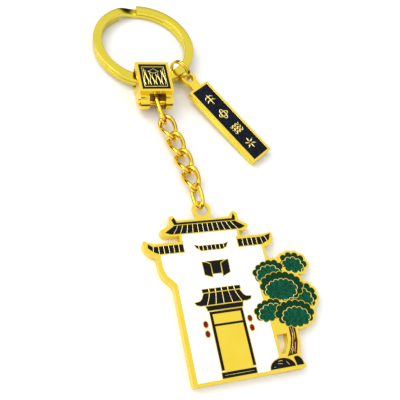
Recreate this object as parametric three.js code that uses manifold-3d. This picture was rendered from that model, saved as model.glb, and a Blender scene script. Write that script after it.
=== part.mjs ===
// Enamelled souvenir keychain: a split ring, a square seal connector, a short curb chain, a gate-house
// pendant and a bar tag on its own small ring. Millimetres, +Z up, lying on its back, the ring towards +Y.
// Every piece is placed in the pendant's own frame, whose lower left corner is at (WALL_LEFT, 0), and the
// finished group is moved so that its origin is the middle of the base of its box.
import * as THREE from "three";
import { mergeVertices } from "three/addons/utils/BufferGeometryUtils.js";
import Module from "manifold-3d";

const wasm = await Module();
wasm.setup();

const degrees = THREE.MathUtils.degToRad;

// Driving dimensions: the split ring.
const RING = {
  centre: [-14.9, 105.6],
  outerRadius: 16,
  bandWidth: 2.7,
  coilHeight: 1.4,
  coilGap: 0.1,
  crossover: degrees(24),
  startAngle: degrees(90),
  stepsPerTurn: 40,
  chamfer: 0.3,
  lift: 1.5,
  clearance: 0.1,
};
const RING_TILT = -Math.atan2(RING.lift, 2 * RING.outerRadius);

// Driving dimensions: the square seal connector.
const SEAL = {
  centreX: -15.45,
  width: 10.3,
  plateBottomY: 83.8,
  plateTopY: 94.5,
  top: 8,
  plateThickness: 1.3,
  rim: 0.85,
  recessDepth: 0.5,
  bodyInset: 0.25,
  slotWidth: 5,
  slotShift: 0.3,
  slotTopY: 87.4,
  pinY: 82.7,
  pinZ: 3.8,
  earRadius: 2.1,
  tunnelFloor: 1.15,
  tunnelRoof: 6.1,
  tunnelBottomY: 88.9,
  tunnelTopY: 93.95,
};
const PIN = { radius: 0.8, clearance: 0.1, overhang: 0.45, headRadius: 1.15 };

// Driving dimensions: the chain. A link's size is its centre line's half width and half length.
const WIRE = 0.7;
const LINK_GAP = 0.4;
const CURB = { halfWidth: 2.1, halfLength: 3.825, wire: WIRE, twist: degrees(44) };
const TOP_LINK = { halfWidth: 2.1, halfLength: 4.45, wire: WIRE, twist: 0 };
const BOTTOM_LINK = { halfWidth: 2.0, halfLength: 3.65, wire: 0.6, twist: 0 };
const LINK_SIDES = 8;
const LINK_STEPS = 26;

// Driving dimensions: the pendant plate and its enamel cells.
const PLATE = { thickness: 2.5, recessDepth: 0.6 };
const ENAMEL = { gap: 0.06, sunk: 0.08, cell: 0.14, spread: 0.07 };
const BAIL = { centre: [-8.3, 47], outerRadius: 2.75, holeRadius: 1.85, bottom: 1.75, neckWidth: 4.2 };
const WALL_LEFT = -20.5;

// Driving dimensions: the bar tag and its ring.
const TAG = {
  centre: [7.11, 75.72, 2.4],
  width: 7.9,
  length: 29.3,
  thickness: 2.4,
  rim: 0.75,
  recessDepth: 0.6,
  heading: degrees(33.6),
  pitch: degrees(4.1),
  eyeDistance: 4.05,
  eyeRadius: 2.35,
  eyeHole: 1.35,
  eyeThickness: 1.6,
};
const TAG_RING = {
  radius: 3.8,
  bandWidth: 0.7,
  coilHeight: 0.62,
  coilGap: 0.08,
  crossover: degrees(30),
  startAngle: degrees(200),
  stepsPerTurn: 24,
  chamfer: 0.2,
  station: degrees(-50),
  outwardShift: 0.2,
};

const gold = new THREE.MeshStandardMaterial({ color: "#e3bd3c", metalness: 1, roughness: 0.22 });
const goldWire = new THREE.MeshStandardMaterial({ color: "#d9a92f", metalness: 1, roughness: 0.18 });
const blackEnamel = new THREE.MeshStandardMaterial({ color: "#101014", metalness: 0, roughness: 0.2 });
const navyEnamel = new THREE.MeshStandardMaterial({ color: "#14162a", metalness: 0, roughness: 0.2 });
const whiteEnamel = new THREE.MeshStandardMaterial({ color: "#fbfbf8", metalness: 0, roughness: 0.25 });
const greenEnamel = new THREE.MeshStandardMaterial({ color: "#0b5a38", metalness: 0, roughness: 0.25 });
const redEnamel = new THREE.MeshStandardMaterial({ color: "#8e1a12", metalness: 0, roughness: 0.25 });
const brownEnamel = new THREE.MeshStandardMaterial({ color: "#5a2c16", metalness: 0, roughness: 0.3 });

// A closed geometry as a solid that can be joined and cut.
function solid(geometry) {
  const bare = geometry.clone();
  bare.deleteAttribute("normal");
  bare.deleteAttribute("uv");
  const merged = mergeVertices(bare, 1e-4);
  return new wasm.Manifold(
    new wasm.Mesh({
      numProp: 3,
      vertProperties: new Float32Array(merged.attributes.position.array),
      triVerts: new Uint32Array(merged.index.array),
    }),
  );
}

function geometryOf(body) {
  const mesh = body.getMesh();
  const geometry = new THREE.BufferGeometry();
  geometry.setAttribute("position", new THREE.BufferAttribute(new Float32Array(mesh.vertProperties), 3));
  geometry.setIndex(new THREE.BufferAttribute(new Uint32Array(mesh.triVerts), 1));
  return geometry;
}

// The biggest of the separate bodies that a cut leaves.
function largest(body) {
  return body.decompose().reduce((best, other) => (other.volume() > best.volume() ? other : best));
}

function piece(name, geometry, material) {
  const mesh = new THREE.Mesh(geometry, material);
  mesh.name = name;
  return mesh;
}

// An upright prism over an outline of [x, y] points.
function prism(outline, bottom, top) {
  const shape = new THREE.Shape(outline.map(([x, y]) => new THREE.Vector2(x, y)));
  const geometry = new THREE.ExtrudeGeometry(shape, { depth: top - bottom, bevelEnabled: false });
  return solid(geometry.translate(0, 0, bottom));
}

function box(low, high) {
  const size = high.map((value, axis) => value - low[axis]);
  const geometry = new THREE.BoxGeometry(...size);
  return solid(geometry.translate(...low.map((value, axis) => value + size[axis] / 2)));
}

function upright(radius, centre, bottom, top, sides = 28) {
  const geometry = new THREE.CylinderGeometry(radius, radius, top - bottom, sides);
  return solid(geometry.rotateX(Math.PI / 2).translate(centre[0], centre[1], (bottom + top) / 2));
}

function alongX(radius, y, z, left, right, sides = 24) {
  const geometry = new THREE.CylinderGeometry(radius, radius, right - left, sides);
  return solid(geometry.rotateZ(Math.PI / 2).translate((left + right) / 2, y, z));
}

// The outline with every edge moved outwards by a distance, or inwards when it is negative.
function grown(outline, distance) {
  const turn = THREE.ShapeUtils.isClockWise(outline.map(([x, y]) => new THREE.Vector2(x, y))) ? -1 : 1;
  const count = outline.length;
  return outline.map((point, index) => {
    const here = new THREE.Vector2(...point);
    const before = new THREE.Vector2(...outline[(index + count - 1) % count]).sub(here).normalize();
    const after = new THREE.Vector2(...outline[(index + 1) % count]).sub(here).normalize();
    const outwardBefore = new THREE.Vector2(-before.y, before.x).multiplyScalar(turn);
    const outwardAfter = new THREE.Vector2(after.y, -after.x).multiplyScalar(turn);
    const mean = outwardBefore.clone().add(outwardAfter).normalize();
    const reach = distance / Math.max(mean.dot(outwardAfter), 0.5);
    return [here.x + mean.x * reach, here.y + mean.y * reach];
  });
}

function rectangle(left, bottom, right, top) {
  return [
    [left, bottom],
    [right, bottom],
    [right, top],
    [left, top],
  ];
}

// A run of points on an arc of an ellipse, both ends included.
function arc(centre, radii, from, to, steps) {
  const points = [];
  for (let step = 0; step <= steps; step += 1) {
    const angle = from + ((to - from) * step) / steps;
    points.push([centre[0] + radii[0] * Math.cos(angle), centre[1] + radii[1] * Math.sin(angle)]);
  }
  return points;
}

// The route of a double coil: a full turn on top, a crossover down, and a turn below that stops short of it.
class CoilPath extends THREE.Curve {
  constructor(coil, radius) {
    super();
    this.coil = coil;
    this.radius = radius;
    this.rise = coil.coilHeight + coil.coilGap;
    this.sweep = 4 * Math.PI - coil.crossover - degrees(3);
  }

  getPoint(t, target = new THREE.Vector3()) {
    const travelled = this.sweep * t;
    const fall = THREE.MathUtils.smoothstep(travelled, 2 * Math.PI - this.coil.crossover, 2 * Math.PI);
    const angle = this.coil.startAngle - travelled;
    const height = this.coil.coilHeight / 2 + this.rise * (1 - fall);
    return target.set(this.radius * Math.cos(angle), this.radius * Math.sin(angle), height);
  }
}

// A double-coil ring of flat band, standing on z = 0 round the Z axis.
function coilRing(coil, outerRadius) {
  const halfHeight = coil.coilHeight / 2;
  const halfWidth = coil.bandWidth / 2;
  const section = new THREE.Shape([
    new THREE.Vector2(-halfHeight, -halfWidth + coil.chamfer),
    new THREE.Vector2(-halfHeight + coil.chamfer, -halfWidth),
    new THREE.Vector2(halfHeight - coil.chamfer, -halfWidth),
    new THREE.Vector2(halfHeight, -halfWidth + coil.chamfer),
    new THREE.Vector2(halfHeight, halfWidth - coil.chamfer),
    new THREE.Vector2(halfHeight - coil.chamfer, halfWidth),
    new THREE.Vector2(-halfHeight + coil.chamfer, halfWidth),
    new THREE.Vector2(-halfHeight, halfWidth - coil.chamfer),
  ]);
  const path = new CoilPath(coil, outerRadius - halfWidth);
  return new THREE.ExtrudeGeometry(section, { steps: 2 * coil.stepsPerTurn, extrudePath: path });
}

function splitRing() {
  const holder = new THREE.Group();
  holder.position.set(RING.centre[0], RING.centre[1] + RING.outerRadius, 0);
  holder.rotation.x = RING_TILT;
  const ring = piece("split_ring", coilRing(RING, RING.outerRadius), gold);
  ring.position.set(0, -RING.outerRadius, RING.clearance);
  holder.add(ring);
  return holder;
}

// The connector's side view, as [y, z] points: square plate above, sloped back corner, rounded ears.
function sealProfile() {
  const { plateBottomY, plateTopY, top, plateThickness, pinY, pinZ, earRadius } = SEAL;
  const underPlate = top - plateThickness;
  return [
    [plateBottomY, top],
    [plateBottomY, underPlate],
    [pinY, underPlate],
    ...arc([pinY, pinZ], [earRadius, earRadius], degrees(108), degrees(270), 9),
    [pinY + 2.4, 0.35],
    [plateTopY - 1.9, 0.35],
    [plateTopY, 2.3],
    [plateTopY, top],
  ];
}

// A solid over a [y, z] outline, running along X.
function sideways(outline, left, right) {
  const shape = new THREE.Shape(outline.map(([y, z]) => new THREE.Vector2(y, z)));
  const geometry = new THREE.ExtrudeGeometry(shape, { depth: right - left, bevelEnabled: false });
  geometry.applyMatrix4(
    new THREE.Matrix4().makeBasis(
      new THREE.Vector3(0, 1, 0),
      new THREE.Vector3(0, 0, 1),
      new THREE.Vector3(1, 0, 0),
    ),
  );
  return solid(geometry.translate(left, 0, 0));
}

function sealBlock() {
  const left = SEAL.centreX - SEAL.width / 2;
  const right = SEAL.centreX + SEAL.width / 2;
  const underPlate = SEAL.top - SEAL.plateThickness;
  const body = sideways(sealProfile(), left + SEAL.bodyInset, right - SEAL.bodyInset);
  const plate = box([left, SEAL.plateBottomY, underPlate], [right, SEAL.plateTopY, SEAL.top]);
  const tunnelOutline = [
    [SEAL.tunnelBottomY, SEAL.tunnelFloor],
    [SEAL.tunnelTopY - 0.4, SEAL.tunnelFloor],
    [SEAL.tunnelTopY, SEAL.tunnelFloor + 0.4],
    [SEAL.tunnelTopY, SEAL.tunnelRoof - 0.6],
    [SEAL.tunnelTopY - 0.6, SEAL.tunnelRoof],
    [SEAL.tunnelBottomY + 0.6, SEAL.tunnelRoof],
    [SEAL.tunnelBottomY, SEAL.tunnelRoof - 0.6],
  ];
  const tunnel = sideways(tunnelOutline, left - 1, right + 1);
  const slotLeft = SEAL.centreX + SEAL.slotShift - SEAL.slotWidth / 2;
  const slotRight = slotLeft + SEAL.slotWidth;
  const slotUnderPlate = box([slotLeft, SEAL.pinY - 5, -1], [slotRight, SEAL.slotTopY, underPlate - 0.01]);
  const slotBelowPlate = box([slotLeft, SEAL.pinY - 5, -1], [slotRight, SEAL.plateBottomY, SEAL.top + 1]);
  const slot = slotUnderPlate.add(slotBelowPlate);
  const recess = prism(sealField(0), SEAL.top - SEAL.recessDepth, SEAL.top + 1);
  const bore = alongX(PIN.radius + PIN.clearance, SEAL.pinY, SEAL.pinZ, left - 1, right + 1);
  return body.add(plate).subtract(tunnel).subtract(slot).subtract(recess).subtract(bore);
}

function sealField(growth) {
  const left = SEAL.centreX - SEAL.width / 2 + SEAL.rim;
  const right = SEAL.centreX + SEAL.width / 2 - SEAL.rim;
  return grown(rectangle(left, SEAL.plateBottomY + SEAL.rim, right, SEAL.plateTopY - SEAL.rim), growth);
}

function clevisPin() {
  const left = SEAL.centreX - SEAL.width / 2 + SEAL.bodyInset;
  const right = SEAL.centreX + SEAL.width / 2 - SEAL.bodyInset;
  const shaft = alongX(PIN.radius, SEAL.pinY, SEAL.pinZ, left - PIN.overhang, right + PIN.overhang);
  const headFace = left - PIN.clearance;
  const head = alongX(PIN.headRadius, SEAL.pinY, SEAL.pinZ, headFace - PIN.overhang, headFace);
  return shaft.add(head);
}

function connector() {
  const group = new THREE.Group();
  const floor = SEAL.top - SEAL.recessDepth + ENAMEL.gap;
  const inlay = prism(sealField(-ENAMEL.gap), floor, SEAL.top - ENAMEL.sunk);
  group.add(piece("seal_block", geometryOf(sealBlock()), gold));
  group.add(piece("seal_enamel", geometryOf(inlay), blackEnamel));
  group.add(piece("clevis_pin", geometryOf(clevisPin()), goldWire));
  return group;
}

// A closed wire: a torus whose centre circle is bent onto the given centre line, which runs once round for
// t from 0 to 1 and keeps the origin on its inner side.
function closedWire(centreLine, wireRadius) {
  const torusRadius = 10;
  const geometry = new THREE.TorusGeometry(torusRadius, wireRadius, LINK_SIDES, LINK_STEPS);
  const position = geometry.attributes.position;
  const nudge = 1e-3;
  for (let index = 0; index < position.count; index += 1) {
    const vertex = new THREE.Vector3().fromBufferAttribute(position, index);
    const t = Math.atan2(vertex.y, vertex.x) / (2 * Math.PI);
    const sideways = Math.hypot(vertex.x, vertex.y) - torusRadius;
    const centre = centreLine(t);
    const along = centreLine(t + nudge).sub(centreLine(t - nudge)).normalize();
    const outward = centre.clone().addScaledVector(along, -centre.dot(along)).normalize();
    const across = new THREE.Vector3().crossVectors(outward, along);
    centre.addScaledVector(outward, sideways).addScaledVector(across, vertex.z);
    position.setXYZ(index, centre.x, centre.y, centre.z);
  }
  return geometry;
}

// The centre line of a link: straight sides, round ends, and its width axis turned by twist towards each end.
function linkCentreLine({ halfWidth, halfLength, twist }) {
  const straight = halfLength - halfWidth;
  const sharpness = 2.5;
  return (t) => {
    const angle = 2 * Math.PI * t;
    const side = halfWidth * Math.cos(angle);
    const blend = Math.tanh(sharpness * Math.sin(angle)) / Math.tanh(sharpness);
    const along = halfWidth * Math.sin(angle) + straight * blend;
    const turn = twist * Math.sin((Math.PI * along) / (2 * halfLength));
    return new THREE.Vector3(side * Math.cos(turn), along, side * Math.sin(turn));
  };
}

// A link whose upper end's centre line starts at a point and which runs down the chain from there.
function placedLink(name, size, { start, heading, fall, roll }) {
  const down = new THREE.Vector3(
    Math.sin(heading) * Math.cos(fall),
    -Math.cos(heading) * Math.cos(fall),
    -Math.sin(fall),
  );
  const up = down.clone().negate();
  const normal = new THREE.Vector3(0, 0, 1).addScaledVector(up, -up.z).normalize();
  normal.applyAxisAngle(up, roll);
  const across = new THREE.Vector3().crossVectors(up, normal);
  const link = piece(name, closedWire(linkCentreLine(size), size.wire), goldWire);
  link.quaternion.setFromRotationMatrix(new THREE.Matrix4().makeBasis(across, up, normal));
  link.position.copy(start).addScaledVector(down, size.halfLength);
  const step = 2 * size.halfLength - size.wire - LINK_GAP - WIRE;
  return { link, next: start.clone().addScaledVector(down, step) };
}

function chain() {
  const group = new THREE.Group();
  const reach = WIRE + LINK_GAP + PIN.radius;
  let start = new THREE.Vector3(SEAL.centreX + 0.51, SEAL.pinY + reach, SEAL.pinZ + 0.21);
  const links = [
    ["chain_link_top", TOP_LINK, { heading: degrees(9), fall: degrees(6), roll: degrees(62) }],
    ["curb_link_1", CURB, { heading: degrees(17), fall: degrees(6), roll: 0 }],
    ["curb_link_2", CURB, { heading: degrees(14), fall: degrees(3), roll: 0 }],
    ["curb_link_3", CURB, { heading: degrees(11), fall: 0, roll: 0 }],
    ["curb_link_4", CURB, { heading: degrees(9), fall: 0, roll: 0 }],
    ["chain_link_bottom", BOTTOM_LINK, { heading: degrees(2), fall: degrees(-2), roll: degrees(-72) }],
  ];
  for (const [name, size, lie] of links) {
    const { link, next } = placedLink(name, size, { start, ...lie });
    group.add(link);
    start = next;
  }
  return group;
}

const ENAMEL_TOP = PLATE.thickness - ENAMEL.sunk;
const CELL_FLOOR = PLATE.thickness - PLATE.recessDepth;

// Outlines on the pendant, as [x, y] points.
const houseOutline = [
  [WALL_LEFT, 0.5],
  [WALL_LEFT + 0.15, 0.15],
  [WALL_LEFT + 0.5, 0],
  [9.8, 0],
  [10.3, 0.2],
  [10.5, 0.7],
  [9.6, 3.1],
  [10.6, 6.8],
  [11, 11],
  [10, 18],
  [7.7, 26],
  [7.7, 34.3],
  ...arc([8.1, 37.2], [2.9, 2.9], degrees(-72), degrees(20), 7),
  [10.7, 38.7],
  [10.1, 38.4],
  [8.2, 38],
  [1.3, 38],
  [1.3, 39.8],
  [3.2, 39.8],
  [4.2, 40.6],
  [4.5, 41.4],
  [2, 42.9],
  [2, 44.6],
  ...arc([0.95, 45], [0.95, 0.85], degrees(15), degrees(165), 6),
  [-0.5, 44.3],
  [-16.1, 44.3],
  ...arc([-17.4, 45], [0.95, 0.85], degrees(15), degrees(165), 6),
  [-18.4, 43.2],
  [-21.3, 41.7],
  [-21, 40.6],
  [-19.8, 39.9],
  [-16.3, 39.8],
  [-16.3, 38],
  [-23.6, 38],
  [-25.2, 38.6],
  [-26.1, 39.3],
  [-26.6, 38.9],
  ...arc([-22.9, 38.3], [3.8, 3.9], degrees(180), degrees(255), 6),
  [-23.5, 33.8],
  [-23.5, 31.4],
  ...arc([-18.1, 31.4], [5.4, 5.6], degrees(188), degrees(222), 4),
  [-20.9, 26.4],
  [WALL_LEFT - 0.1, 25.5],
  [WALL_LEFT, 24.6],
];

const openingOutline = [
  [4.6, 4.4],
  [5.6, 4.6],
  [7.1, 7.2],
  [7.4, 9.5],
  [4.4, 9.5],
  [4.3, 5],
];

const wallOutline = [
  [-19.3, 0.8],
  [0.3, 0.8],
  [0.9, 2.2],
  [2.4, 3.4],
  [3.6, 3.9],
  [3.6, 12.5],
  [3.2, 20],
  [3.2, 24],
  [4.5, 27],
  [6.9, 30.2],
  [6.9, 34.8],
  [-0.1, 34.8],
  [-0.1, 38],
  [0.6, 38.4],
  [0.6, 40.1],
  [-15.6, 40.1],
  [-15.6, 34.8],
  [-22.4, 34.8],
  [-22.4, 31.3],
  [-21.7, 29],
  [-19.4, 26.3],
];

const ridgeOutline = [
  [-17, 43.1],
  [0.9, 43.1],
  [1.1, 44.2],
  [0.7, 45.1],
  [0.1, 43.6],
  [-16.2, 43.6],
  [-16.8, 45.1],
  [-17.5, 44.6],
];

const topRoofOutline = [
  [-17, 42.8],
  [-19.9, 41],
  [-18.4, 40.4],
  [2, 40.4],
  [3.4, 41],
  [0.8, 42.8],
];

const leftEaveOutline = [
  [-15.8, 35.1],
  [-22.6, 35.1],
  [-24.2, 35.9],
  [-25.4, 37.1],
  [-25.3, 38.1],
  [-24.1, 37.2],
  [-15.8, 37.2],
];

const rightEaveOutline = [
  [0.2, 35.1],
  [7.2, 35.1],
  [9.6, 36.2],
  [10.3, 37.9],
  [7.6, 37.2],
  [0.2, 37.2],
];

const middleEaveOutline = [
  [-10.9, 34.95],
  [-4.6, 34.95],
  [-3.7, 35.4],
  [-2.95, 36.6],
  [-3.9, 36.2],
  [-11.4, 36.2],
  [-12.5, 36.6],
  [-12.1, 35.9],
];

const leftShutterOutline = [
  [-11.35, 28.05],
  [-9.4, 27.25],
  [-9.35, 30.75],
  [-10.4, 31.35],
  [-11.4, 31.55],
];

const rightShutterOutline = [
  [-6.25, 27.25],
  [-4.2, 28.1],
  [-4.1, 31.6],
  [-5, 31.35],
  [-6.1, 30.75],
];

const windowPaneOutline = [
  [-9, 28.1],
  [-6.65, 28.1],
  [-6.45, 30.95],
  [-5.3, 31.65],
  [-10.1, 31.65],
  [-9.05, 30.95],
];

const gateRoofOutline = [
  [-12.9, 22.85],
  [-13.6, 21.5],
  [-14.3, 20.9],
  [-15.7, 20.7],
  [-15.4, 20.15],
  [-14.4, 19.8],
  [-1.2, 19.8],
  [-0.3, 20.1],
  [0, 20.7],
  [-1.4, 20.9],
  [-2.1, 21.5],
  [-2.8, 22.85],
];

const lintelOutline = [
  [-12.7, 18.3],
  [-3, 18.3],
  [-2.7, 19.4],
  [-13, 19.4],
];

const doorFrameOutline = rectangle(-12.5, 2.9, -3.2, 17.9);
const doorPanelOutlines = [rectangle(-11.75, 14.6, -3.95, 17.2), rectangle(-11.7, 2.5, -4, 14)];
const sillOutline = rectangle(-12.6, 1, -3.4, 2.3);

const trunkOutline = [
  [5.9, 3.6],
  [8.8, 3.9],
  [9.9, 7],
  [10.3, 11.4],
  [8.4, 11.4],
  [8.2, 8],
  [7.2, 5.4],
];

const largeRockOutline = arc([4, 1], [3.5, 2.4], Math.PI, 0, 10);
const smallRockOutline = [[8, 1.05], ...arc([8.3, 1.05], [1.6, 2.3], 0, degrees(115), 6)];
const gateCapOutline = rectangle(-13.1, 23.2, -2.5, 24);

const LANTERNS = [
  { name: "lantern_left_lower", centre: [-14.1, 12.35] },
  { name: "lantern_left_upper", centre: [-14.1, 14.85] },
  { name: "lantern_right_lower", centre: [-1.8, 12.35] },
  { name: "lantern_right_upper", centre: [-1.8, 14.85] },
];
const LANTERN_RADII = [0.55, 0.8];

// Foliage clumps, from the front one to the back one. Each is a tilted oval whose edge carries round lobes.
const LOBE = 1;
const LOBE_STEPS = 6;
const TREE_BORDER = 0.62;
const CLUMPS = [
  { name: "foliage_lower_right", centre: [11.3, 14.4], radii: [4.8, 2.8], tilt: degrees(-3), lobes: 14 },
  { name: "foliage_lower_left", centre: [4.3, 16.2], radii: [3.7, 1.95], tilt: degrees(12), lobes: 11 },
  { name: "foliage_middle", centre: [9.7, 22.3], radii: [5.5, 3.25], tilt: degrees(-4), lobes: 16 },
  { name: "foliage_right", centre: [14.2, 19.2], radii: [4.2, 3.1], tilt: degrees(-15), lobes: 13 },
  { name: "foliage_upper_left", centre: [6.8, 27], radii: [3.9, 2], tilt: degrees(15), lobes: 11 },
  { name: "foliage_top", centre: [15, 28.6], radii: [3.2, 2.1], tilt: degrees(-15), lobes: 9 },
];

// The edge of a clump moved outwards by growth: round lobes that meet their neighbours in notches.
function clumpOutline({ centre, radii, tilt, lobes }, growth) {
  const oval = new THREE.EllipseCurve(...centre, ...radii, 0, 2 * Math.PI, false, tilt);
  const radius = LOBE + growth;
  const places = Array.from({ length: lobes }, (_, index) => oval.getPointAt(index / lobes));
  return places.flatMap((place, index) => {
    const before = places[(index + lobes - 1) % lobes];
    const after = places[(index + 1) % lobes];
    const from = place.clone().sub(before).angle() - Math.acos(-place.distanceTo(before) / 2 / radius);
    const to = after.clone().sub(place).angle() - Math.acos(place.distanceTo(after) / 2 / radius);
    const span = THREE.MathUtils.euclideanModulo(to - from, 2 * Math.PI);
    return arc([place.x, place.y], [radius, radius], from, from + span, LOBE_STEPS).slice(1);
  });
}

function clumpSolid(clump, growth, bottom, top) {
  return prism(clumpOutline(clump, growth), bottom, top);
}

function cell(outline, growth, bottom, top) {
  return prism(grown(outline, growth), bottom, top);
}

// The drawn enamel fields: a name, a finish, and a solid for any growth of the outline and any height.
function drawnFields() {
  const outlined = (outline) => (growth, bottom, top) => cell(outline, growth + ENAMEL.spread, bottom, top);
  const black = {
    roof_ridge: ridgeOutline,
    top_roof: topRoofOutline,
    left_eave: leftEaveOutline,
    right_eave: rightEaveOutline,
    middle_eave: middleEaveOutline,
    left_shutter: leftShutterOutline,
    right_shutter: rightShutterOutline,
    window_pane: windowPaneOutline,
    gate_roof_cap: gateCapOutline,
    gate_roof: gateRoofOutline,
    gate_lintel: lintelOutline,
    door_sill: sillOutline,
    large_rock: largeRockOutline,
    small_rock: smallRockOutline,
  };
  const fields = Object.entries(black).map(([name, outline]) => ({
    name,
    finish: blackEnamel,
    at: outlined(outline),
  }));
  for (const { name, centre } of LANTERNS) {
    const outline = arc(centre, LANTERN_RADII, 0, 2 * Math.PI * (11 / 12), 11);
    fields.push({ name, finish: redEnamel, at: outlined(outline) });
  }
  fields.push({ name: "door_frame", finish: blackEnamel, at: doorFrameField });
  fields.push({ name: "tree_trunk", finish: brownEnamel, at: trunkField });
  return fields;
}

function doorFrameField(growth, bottom, top) {
  let frame = cell(doorFrameOutline, growth, bottom, top);
  for (const panel of doorPanelOutlines) {
    frame = frame.subtract(cell(panel, -growth, bottom - 1, top + 1));
  }
  return frame;
}

function trunkField(growth, bottom, top) {
  const inFront = ENAMEL.cell - growth;
  const foliage = clumpSolid(CLUMPS[0], inFront, bottom - 1, top + 1);
  return cell(trunkOutline, growth, bottom, top).subtract(foliage);
}

// A foliage clump less everything that stands in front of it.
function clumpField(rank, growth, bottom, top) {
  let body = clumpSolid(CLUMPS[rank], growth, bottom, top);
  for (let front = 0; front < rank; front += 1) {
    body = body.subtract(clumpSolid(CLUMPS[front], ENAMEL.cell - growth, bottom - 1, top + 1));
  }
  return largest(body);
}

function wallField(drawn, growth, bottom, top) {
  const inFront = ENAMEL.cell - growth;
  let body = cell(wallOutline, growth, bottom, top);
  for (const field of drawn) {
    body = body.subtract(field.at(inFront, bottom - 1, top + 1));
  }
  for (const panel of doorPanelOutlines) {
    body = body.subtract(prism(panel, bottom - 1, top + 1));
  }
  for (const clump of CLUMPS) {
    body = body.subtract(clumpSolid(clump, inFront, bottom - 1, top + 1));
  }
  return body;
}

function pendantPlate(fieldSolids) {
  let plate = prism(houseOutline, 0, PLATE.thickness);
  for (const clump of CLUMPS) {
    plate = plate.add(clumpSolid(clump, TREE_BORDER, 0, PLATE.thickness));
  }
  const [bailX, bailY] = BAIL.centre;
  const neckHalf = BAIL.neckWidth / 2;
  const neckOutline = rectangle(bailX - neckHalf, bailY - 3.1, bailX + neckHalf, bailY - 1.7);
  plate = plate.add(prism(neckOutline, BAIL.bottom, PLATE.thickness));
  plate = plate.add(upright(BAIL.outerRadius, BAIL.centre, BAIL.bottom, PLATE.thickness));
  plate = plate.subtract(upright(BAIL.holeRadius, BAIL.centre, -1, PLATE.thickness + 1));
  plate = plate.subtract(prism(openingOutline, -1, PLATE.thickness + 1));
  for (const field of fieldSolids) {
    plate = plate.subtract(field);
  }
  return plate;
}

function pendant() {
  const group = new THREE.Group();
  const drawn = drawnFields();
  const builders = [
    { name: "wall", finish: whiteEnamel, at: (...lie) => wallField(drawn, ...lie) },
    ...drawn,
    ...CLUMPS.map(({ name }, rank) => ({
      name,
      finish: greenEnamel,
      at: (...lie) => clumpField(rank, ...lie),
    })),
  ];
  const recesses = builders.map((builder) => builder.at(0, CELL_FLOOR, PLATE.thickness + 1));
  group.add(piece("pendant_plate", geometryOf(pendantPlate(recesses)), gold));
  for (const builder of builders) {
    const inlay = builder.at(-ENAMEL.gap, CELL_FLOOR + ENAMEL.gap, ENAMEL_TOP);
    group.add(piece(`enamel_${builder.name}`, geometryOf(inlay), builder.finish));
  }
  return group;
}

// The bar tag in its own frame: length along Y with the eye at the +Y end, its middle at the origin.
function barTag() {
  const group = new THREE.Group();
  const half = TAG.thickness / 2;
  const outline = rectangle(-TAG.width / 2, -TAG.length / 2, TAG.width / 2, TAG.length / 2);
  const eyeCentre = [0, TAG.length / 2 + TAG.eyeDistance];
  const neck = box(
    [-TAG.eyeRadius * 0.7, TAG.length / 2 - 0.5, -TAG.eyeThickness / 2],
    [TAG.eyeRadius * 0.7, eyeCentre[1] - TAG.eyeHole, TAG.eyeThickness / 2],
  );
  const eye = upright(TAG.eyeRadius, eyeCentre, -TAG.eyeThickness / 2, TAG.eyeThickness / 2);
  const hole = upright(TAG.eyeHole, eyeCentre, -half, half);
  const recess = prism(grown(outline, -TAG.rim), half - TAG.recessDepth, half + 1);
  const plate = prism(outline, -half, half).add(neck).add(eye).subtract(hole).subtract(recess);
  const inlayOutline = grown(outline, -TAG.rim - ENAMEL.gap);
  const inlay = prism(inlayOutline, half - TAG.recessDepth + ENAMEL.gap, half - ENAMEL.sunk);
  group.add(piece("tag_plate", geometryOf(plate), gold));
  group.add(piece("tag_enamel", geometryOf(inlay), navyEnamel));
  group.position.set(...TAG.centre);
  group.rotation.order = "ZXY";
  group.rotation.z = TAG.heading;
  group.rotation.x = TAG.pitch;
  return group;
}

// The tag's ring stands upright on the split ring's band, its axis along the band.
function tagRing() {
  const bandMiddle = RING.outerRadius - RING.bandWidth / 2;
  const distance = bandMiddle + TAG_RING.outwardShift;
  const depth = 2 * TAG_RING.coilHeight + TAG_RING.coilGap;
  const ring = piece("tag_ring", coilRing(TAG_RING, TAG_RING.radius).translate(0, 0, -depth / 2), goldWire);
  const outward = new THREE.Vector3(Math.cos(TAG_RING.station), Math.sin(TAG_RING.station), 0);
  const upward = new THREE.Vector3(0, 0, 1);
  const along = new THREE.Vector3().crossVectors(outward, upward);
  ring.quaternion.setFromRotationMatrix(new THREE.Matrix4().makeBasis(outward, upward, along));
  ring.position.set(
    RING.centre[0] + distance * outward.x,
    RING.centre[1] + distance * outward.y,
    TAG_RING.radius + 0.05,
  );
  return ring;
}

const assembly = new THREE.Group();
assembly.add(splitRing(), connector(), chain(), pendant(), tagRing(), barTag());
assembly.updateMatrixWorld(true);
const bounds = new THREE.Box3().setFromObject(assembly, true);
const middle = bounds.getCenter(new THREE.Vector3());
assembly.position.set(-middle.x, -middle.y, -bounds.min.z);

const keychain = new THREE.Group();
keychain.add(assembly);

export default keychain;
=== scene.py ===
"""Looks of an enamelled souvenir keychain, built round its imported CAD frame.

Shapes are worked out in millimetres in the pendant's own frame, whose lower left wall corner is the CAD
model's, and are put into the row frame, in metres, by one matrix.
"""

import logging
import math
from dataclasses import dataclass, field
from enum import Enum
from typing import Any, Iterable, Sequence

import bmesh
import bpy
from mathutils import Matrix, Vector


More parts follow.
